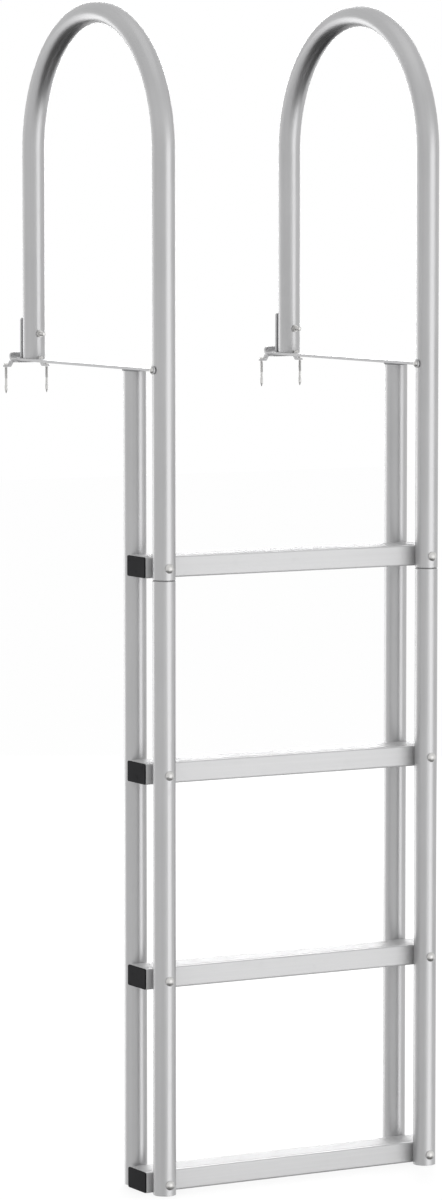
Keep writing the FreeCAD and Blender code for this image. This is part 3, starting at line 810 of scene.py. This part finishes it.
@dataclass
class Bolts:
    """Domed bolts with rolled threads, in place of the plain ones."""

    finish: Material
    makers: Makers
    head_height: float = 3.8 * MM
    radius: float = 3.0 * MM
    thread_pitch: float = 1.0 * MM
    thread_depth: float = 0.6 * MM
    thread_length: float = 18.0 * MM
    thread_share: float = 0.55
    chamfer: float = 0.8 * MM
    rim: float = 0.35 * MM
    dome_steps: int = 12

    def threaded(self, length: float) -> float:
        """Return how much of a shank of this length carries the thread."""
        return min(self.thread_length, length * self.thread_share)

    def blank(self, name: str, head_radius: float, length: float) -> Mesh:
        """Turn a bolt blank: a low dome with a small rim, a plain shank and a root-size end.

        Args:
            name: The mesh's name.
            head_radius: Radius of the head.
            length: Length of the shank below the seat.

        Returns:
            The blank, along Z with its head up.
        """
        root = self.radius - self.thread_depth
        thread_top = -length + self.threaded(length)
        dome = self.head_height - self.rim
        sphere = (head_radius ** 2 + dome ** 2) / (2 * dome)
        sweep = math.asin(head_radius / sphere)
        outline = [(0.0, -length), (root - self.chamfer / 2, -length), (root, -length + self.chamfer / 2),
                   (root, thread_top), (self.radius, thread_top + self.chamfer), (self.radius, 0.0),
                   (head_radius - self.rim / 2, 0.0), (head_radius, self.rim / 2)]
        for index in range(self.dome_steps):
            angle = sweep * (1 - index / self.dome_steps)
            outline.append((sphere * math.sin(angle), self.head_height - sphere * (1 - math.cos(angle))))
        outline.append((0.0, self.head_height))
        return lathe(name, (outline, ROUND_SEGMENTS))

    def place(self, row: BoltRow) -> None:
        """Make the bolts of one CAD node.

        Args:
            row: Where they sit and how large they are.
        """
        piece = run_tree(row.name, self.blank(row.name + "_blank", row.head_radius, row.length),
                         self.makers.threaded_row, {
            "Finish": self.finish, "Root Radius": self.radius - self.thread_depth,
            "Depth": self.thread_depth, "Pitch": self.thread_pitch,
            "Thread Start": -row.length + self.chamfer / 2,
            "Thread Length": self.threaded(row.length) - self.chamfer,
            "Count": row.count, "Step": (row.spacing, 0.0, 0.0),
            "Turn": tuple(Vector(row.axis).to_track_quat("Z", "Y").to_euler()), "Place": tuple(row.seat)})
        keep_piece(piece, Slot.BOLT, (row.node,))

    def build(self) -> None:
        """Make every bolt of the ladder from its CAD node's box."""
        for number in STEP_NUMBERS:
            node = f"step_{number}_bolts"
            low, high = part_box(node)
            head = (high.z - low.z) / 2
            seat = Vector((low.x + head, low.y + self.head_height, (low.z + high.z) / 2))
            self.place(BoltRow(f"step_{number}_domed_bolts", node, (0, -1, 0), seat, head,
                               high.y - seat.y, count=2, spacing=high.x - low.x - 2 * head))
        for side in SIDES:
            node = f"leg_bolt_{side}"
            low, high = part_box(node)
            seat = Vector(((low.x + high.x) / 2, high.y - self.head_height, (low.z + high.z) / 2))
            self.place(BoltRow(f"leg_domed_bolt_{side}", node, (0, 1, 0), seat, (high.z - low.z) / 2,
                               seat.y - low.y))
            node = f"fork_bolt_{side}"
            low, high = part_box(node)
            seat = Vector((low.x + self.head_height, (low.y + high.y) / 2, (low.z + high.z) / 2))
            self.place(BoltRow(f"fork_domed_bolt_{side}", node, (-1, 0, 0), seat, (high.z - low.z) / 2,
                               high.x - seat.x))


@dataclass
class DeckScrews:
    """Pointed screws with a coarse thread, a waist and a drill point, in place of the plain ones."""

    finish: Material
    makers: Makers
    crest: float = 2.3 * MM
    depth: float = 0.45 * MM
    waist: float = 1.8 * MM
    pitch: float = 1.6 * MM
    neck: float = 2.6 * MM
    ease: float = 0.1 * MM
    run_out: float = 1.0 * MM
    foot_thickness: float = 2.5 * MM
    thread_share: float = 0.42
    tip_radius: float = 0.45 * MM
    tip_height: float = 0.4 * MM
    point_length: float = 5.0 * MM
    point_shoulder: float = 0.6 * MM
    drill_length: float = 8.0 * MM
    drill_taper: float = 0.97
    flange_radius: float = 3.7 * MM
    flange_height: float = 0.8 * MM
    flange_edge: float = 0.6
    flange_top: float = 0.9
    head_sides: int = 6
    head_flats: float = 5.5 * MM
    head_height: float = 2.4 * MM
    head_sink: float = 0.05 * MM
    head_chamfer: float = 0.35 * MM
    head_dish: float = 0.25 * MM

    def threaded(self, length: float) -> float:
        """Return how much of a screw of this length carries the thread."""
        return (length - self.foot_thickness) * self.thread_share

    def blank(self, name: str, length: float) -> Mesh:
        """Turn a screw blank with a flanged hexagon head.

        Args:
            name: The mesh's name.
            length: From the flange's seat to the point.

        Returns:
            The blank, along Z with its seat at Z = 0.
        """
        root, deck = self.crest - self.depth, -self.foot_thickness
        shoulder = -length + self.point_length
        drill_top = shoulder + self.drill_length
        thread_end = deck - self.threaded(length)
        shank = [(0.0, -length), (self.tip_radius, -length + self.tip_height),
                 (self.crest - self.ease, shoulder), (self.crest, shoulder + self.point_shoulder),
                 (self.crest * self.drill_taper, drill_top - self.run_out), (self.waist, drill_top),
                 (self.waist, thread_end), (root, thread_end + self.run_out), (root, deck),
                 (self.neck, deck + self.ease), (self.neck, 0.0), (self.flange_radius, 0.0),
                 (self.flange_radius, self.flange_height * self.flange_edge),
                 (self.flange_radius * self.flange_top, self.flange_height), (0.0, self.flange_height)]
        corner, top = self.head_flats / math.sqrt(3), self.flange_height + self.head_height
        hexagon = [(corner, self.flange_height - self.head_sink), (corner, top - self.head_chamfer),
                   (self.head_flats / 2, top), (0.0, top - self.head_dish)]
        return lathe(name, (shank, ROUND_SEGMENTS), (hexagon, self.head_sides))

    def build(self) -> None:
        """Make both screws of each bracket."""
        for side in SIDES:
            node = f"deck_screws_{side}"
            low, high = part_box(node)
            seat = (low.x + self.flange_radius, (low.y + high.y) / 2,
                    high.z - self.flange_height - self.head_height)
            length = seat[2] - low.z
            threaded = self.threaded(length)
            piece = run_tree(f"pointed_screws_{side}", self.blank(f"screw_blank_{side}", length),
                             self.makers.threaded_row, {
                "Finish": self.finish, "Root Radius": self.crest - self.depth, "Depth": self.depth,
                "Pitch": self.pitch, "Thread Start": -self.foot_thickness - threaded,
                "Thread Length": threaded - self.run_out, "Count": 2,
                "Step": (high.x - low.x - 2 * self.flange_radius, 0.0, 0.0), "Turn": ZERO, "Place": seat})
            keep_piece(piece, Slot.BOLT, (node,))


@dataclass
class Welds:
    """Ripple beads that join the bracket's bars and the rear post to the strip."""

    finish: Material
    makers: Makers
    ripple_radius: float = 1.9 * MM
    ripple_step: float = 1.1 * MM
    ripple_faces: tuple[int, int] = (14, 8)
    ripple_flatness: float = 0.75
    sink: float = 0.45
    sharp: float = math.radians(80)

    def ripple(self, name: str) -> Mesh:
        """Turn one flattened drop of weld metal, thin along the bead.

        Args:
            name: The mesh's name.

        Returns:
            The drop, with the bead's direction along Z.
        """
        around, up = self.ripple_faces
        half_height = self.ripple_radius * self.ripple_flatness
        outline = [(0.0, -half_height)]
        for index in range(1, up):
            angle = math.pi * index / up
            outline.append((self.ripple_radius * math.sin(angle), -half_height * math.cos(angle)))
        outline.append((0.0, half_height))
        return lathe(name, (outline, around), start=math.pi / 2)

    def lay(self, name: str, tree: NodeTree, length: float, values: dict[str, object]) -> None:
        """Lay a bead.

        Args:
            name: The piece's name.
            tree: The tree that sets the ripples.
            length: How long the bead is.
            values: The tree's other inputs.
        """
        ripples = max(2, round(length / self.ripple_step))
        bead = run_tree(name, self.ripple(name + "_drop"), tree,
                        {"Finish": self.finish, "Ripples": ripples, **values})
        keep_piece(bead, Slot.BRACKET, sharp=self.sharp)

    def line(self, name: str, start: Triple, end_x: float) -> None:
        """Lay a bead along X.

        Args:
            name: The piece's name.
            start: Where it starts.
            end_x: The X where it ends.
        """
        self.lay(name, self.makers.bead_line, end_x - start[0],
                 {"From": start, "To": (end_x, start[1], start[2])})

    def build(self) -> None:
        """Weld each rear post, tab and cross foot to its strip."""
        out = self.ripple_radius * self.sink
        for side in SIDES:
            low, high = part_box(f"rear_post_{side}")
            radius = (high.x - low.x) / 2
            centre = ((low.x + high.x) / 2, (low.y + high.y) / 2, high.z - out)
            self.lay(f"post_weld_{side}", self.makers.bead_ring, math.tau * radius,
                     {"Radius": radius, "Place": centre})
            low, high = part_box(f"leg_tab_{side}")
            self.line(f"tab_weld_{side}", (low.x + out, high.y, low.z + out), high.x - out)
            low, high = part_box(f"cross_foot_{side}")
            strip_low, strip_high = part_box(f"deck_strip_{side}")
            for edge, y in (("water", low.y), ("dock", high.y)):
                self.line(f"foot_weld_{edge}_{side}", (strip_low.x + 2 * out, y, high.z - out),
                          strip_high.x - 2 * out)


@dataclass
class Rivets:
    """A domed rivet on each strip, close in front of the deck leg."""

    finish: Material
    makers: Makers
    radius: float = 3.8 * MM
    rim: float = 0.4 * MM
    height: float = 4.2 * MM
    sink: float = 0.3 * MM
    gap_to_leg: float = 2.0 * MM
    dome_steps: int = 12
    segments: int = 32

    def blank(self) -> Mesh:
        """Turn one rivet head.

        Returns:
            The head, along Z with its seat at Z = 0.
        """
        outline = [(0.0, -self.sink), (self.radius, -self.sink)]
        for index in range(self.dome_steps):
            angle = math.pi / 2 * index / self.dome_steps
            outline.append((self.radius * math.cos(angle),
                            self.rim + (self.height - self.rim) * math.sin(angle)))
        outline.append((0.0, self.height))
        return lathe("rivet_blank", (outline, self.segments))

    def build(self) -> None:
        """Set one rivet on each strip, both as one row across the ladder."""
        left, right = (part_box(f"leg_tab_{side}") for side in SIDES)
        first_x, last_x = ((low.x + high.x) / 2 for low, high in (left, right))
        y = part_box("leg_nut_left")[1].y - self.gap_to_leg - self.radius
        piece = run_tree("strip_rivets", self.blank(), self.makers.plain_row, {
            "Finish": self.finish, "Count": 2, "Step": (last_x - first_x, 0.0, 0.0), "Turn": ZERO,
            "Place": (first_x, y, left[0].z)})
        keep_piece(piece, Slot.BOLT)


@dataclass(frozen=True)
class Lamp:
    """A soft rectangular lamp.

    Its angles round the ladder are in degrees, its distance and size in metres, and its power in watts.
    """

    name: str
    azimuth: float
    elevation: float
    distance: float
    size: Pair
    power: float


@dataclass
class Studio:
    """The photograph's camera, a pale floor and soft lamps."""

    azimuth: float = -29.4847
    elevation: float = 5.2228
    aim: Triple = (0.24396, -0.238, -0.35087)
    distance: float = 7.5078
    lens: float = 148.03
    sensor: float = 36.0
    clip: Pair = (0.1, 100.0)
    lamps: tuple[Lamp, ...] = (
        Lamp("key_lamp", 20.0, -9.0, 5.0, (4.4, 5.0), 75.0),
        Lamp("side_lamp", 197.0, -9.0, 4.6, (2.8, 2.2), 28.0),
        Lamp("back_lamp", 150.5, 18.0, 4.5, (2.4, 3.0), 165.0),
        Lamp("top_lamp", -20.0, 80.0, 3.6, (3.0, 3.0), 6.0))
    fill_level: float = 1.0
    floor_half: float = 14.0
    floor_tone: float = 0.95
    floor_roughness: float = 0.9
    floor_glow: float = 0.8
    card_low: Triple = (-4.2, -5.2, -4.0)
    card_size: Pair = (9.8, 11.0)
    card_tone: float = 0.01

    @staticmethod
    def direction(azimuth: float, elevation: float) -> Vector:
        """Return the way from the ladder towards a camera or lamp at these angles in degrees."""
        around, up = math.radians(azimuth), math.radians(elevation)
        return Vector((math.sin(around) * math.cos(up), -math.cos(around) * math.cos(up), math.sin(up)))

    @staticmethod
    def stand(stood: Object, away: Vector, aim: Vector, distance: float) -> None:
        """Stand a camera or lamp at a distance from what it faces.

        Args:
            stood: The camera or lamp.
            away: The way from what it faces towards it.
            aim: What it faces.
            distance: How far away it stands.
        """
        stood.location = aim + away * distance
        stood.rotation_euler = (-away).to_track_quat("-Z", "Y").to_euler()

    def camera(self) -> None:
        """Put the camera where the photograph was taken from."""
        data = bpy.data.cameras.new("camera")
        data.lens = self.lens
        data.sensor_width = self.sensor
        data.clip_start, data.clip_end = self.clip
        camera = show("camera", data)
        self.stand(camera, self.direction(self.azimuth, self.elevation), Vector(self.aim), self.distance)
        bpy.context.scene.camera = camera

    def hang(self, lamp: Lamp) -> None:
        """Hang a soft lamp that faces the ladder.

        Args:
            lamp: The lamp's place, size and power.
        """
        data = bpy.data.lights.new(lamp.name, "AREA")
        data.shape = "RECTANGLE"
        data.size, data.size_y = lamp.size
        data.energy = lamp.power
        hung = show(lamp.name, data)
        middle = (CAD_BOX[0] + CAD_BOX[1]) / 2
        self.stand(hung, self.direction(lamp.azimuth, lamp.elevation), middle, lamp.distance)
        hung.visible_camera = False

    @staticmethod
    def white_where_seen(tree: Tree, lit: Node, white: Node, share: float) -> NodeSocket:
        """Mix a lit shader with plain white where a camera, glossy or transmission ray meets it.

        Args:
            tree: The tree.
            lit: The shader that other rays see.
            white: The plain white shader.
            share: How much of the white the chosen rays see.

        Returns:
            The mixed shader.
        """
        rays = tree.add("ShaderNodeLightPath").outputs
        mirrored = tree.math("MAXIMUM", rays["Is Glossy Ray"], rays["Is Transmission Ray"])
        seen = tree.math("MAXIMUM", rays["Is Camera Ray"], mirrored)
        mix = tree.add("ShaderNodeMixShader", {
            0: tree.math("MULTIPLY", seen, share), 1: lit.outputs[0], 2: white.outputs[0]})
        return mix.outputs[0]

    def world(self) -> None:
        """Light the scene evenly, with a white background."""
        world = bpy.data.worlds.new("studio")
        bpy.context.scene.world = world
        world.use_nodes = True
        tree = Tree(world.node_tree)
        fill = world.node_tree.nodes["Background"]
        white = tree.add("ShaderNodeBackground", {"Color": grey(1.0), "Strength": 1.0})
        tree.fill(fill, {"Color": grey(1.0), "Strength": self.fill_level})
        surface = self.white_where_seen(tree, fill, white, 1.0)
        tree.fill(world.node_tree.nodes["World Output"], {"Surface": surface})

    @staticmethod
    def sheet(name: str, corner: Triple, size: Pair, material: Material) -> Object:
        """Lay a level sheet that faces up.

        Args:
            name: The sheet's name.
            corner: Its corner with the lowest X and Y.
            size: Its sizes along X and Y.
            material: Its material.

        Returns:
            The sheet.
        """
        left, front, height = corner
        right, back = left + size[0], front + size[1]
        mesh = bpy.data.meshes.new(name)
        mesh.from_pydata([(left, front, height), (right, front, height), (right, back, height),
                          (left, back, height)], [], [(0, 1, 2, 3)])
        mesh.materials.append(material)
        return show(name, mesh)

    def floor(self) -> None:
        """Lay the pale floor under the ladder, which keeps a faint shadow."""
        material, tree, shader = new_material("pale_floor")
        tree.fill(shader, {"Base Color": grey(self.floor_tone), "Roughness": self.floor_roughness})
        glow = tree.add("ShaderNodeEmission", {"Color": grey(1.0)})
        surface = self.white_where_seen(tree, shader, glow, self.floor_glow)
        tree.fill(material.node_tree.nodes["Material Output"], {"Surface": surface})
        low, high = CAD_BOX
        corner = ((low.x + high.x) / 2 - self.floor_half, (low.y + high.y) / 2 - self.floor_half, low.z)
        floor = self.sheet("floor", corner, (2 * self.floor_half, 2 * self.floor_half), material)
        floor.visible_glossy = False
        floor.visible_shadow = False

    def dark_card(self) -> None:
        """Lay a dark card under the floor, which only reflections in the hoops' undersides show."""
        material, tree, shader = new_material("dark_card")
        tree.fill(shader, {"Base Color": grey(self.card_tone), "Specular IOR Level": 0.0})
        card = self.sheet("dark_card", self.card_low, self.card_size, material)
        card.visible_camera = False
        card.visible_diffuse = False

    def build(self) -> None:
        """Set up the camera, the floor and the light."""
        self.camera()
        self.world()
        self.floor()
        self.dark_card()
        for lamp in self.lamps:
            self.hang(lamp)
        bpy.context.scene.view_settings.view_transform = "Standard"
        LOG.info("studio: camera, floor, dark card and %d lamps", len(self.lamps))


def main() -> None:
    """Build the studio, the finishes and every piece, in order."""
    logging.basicConfig(level=logging.INFO, format="%(name)s: %(message)s")
    Studio().build()
    finishes = Finishes(Effects())
    makers = Makers()
    bolt = finishes.of_slot[Slot.BOLT]
    Ladder(finishes).build()
    Bolts(bolt, makers).build()
    DeckScrews(bolt, makers).build()
    Welds(finishes.weld, makers).build()
    Rivets(bolt, makers).build()


if __name__ == "__main__":
    main()
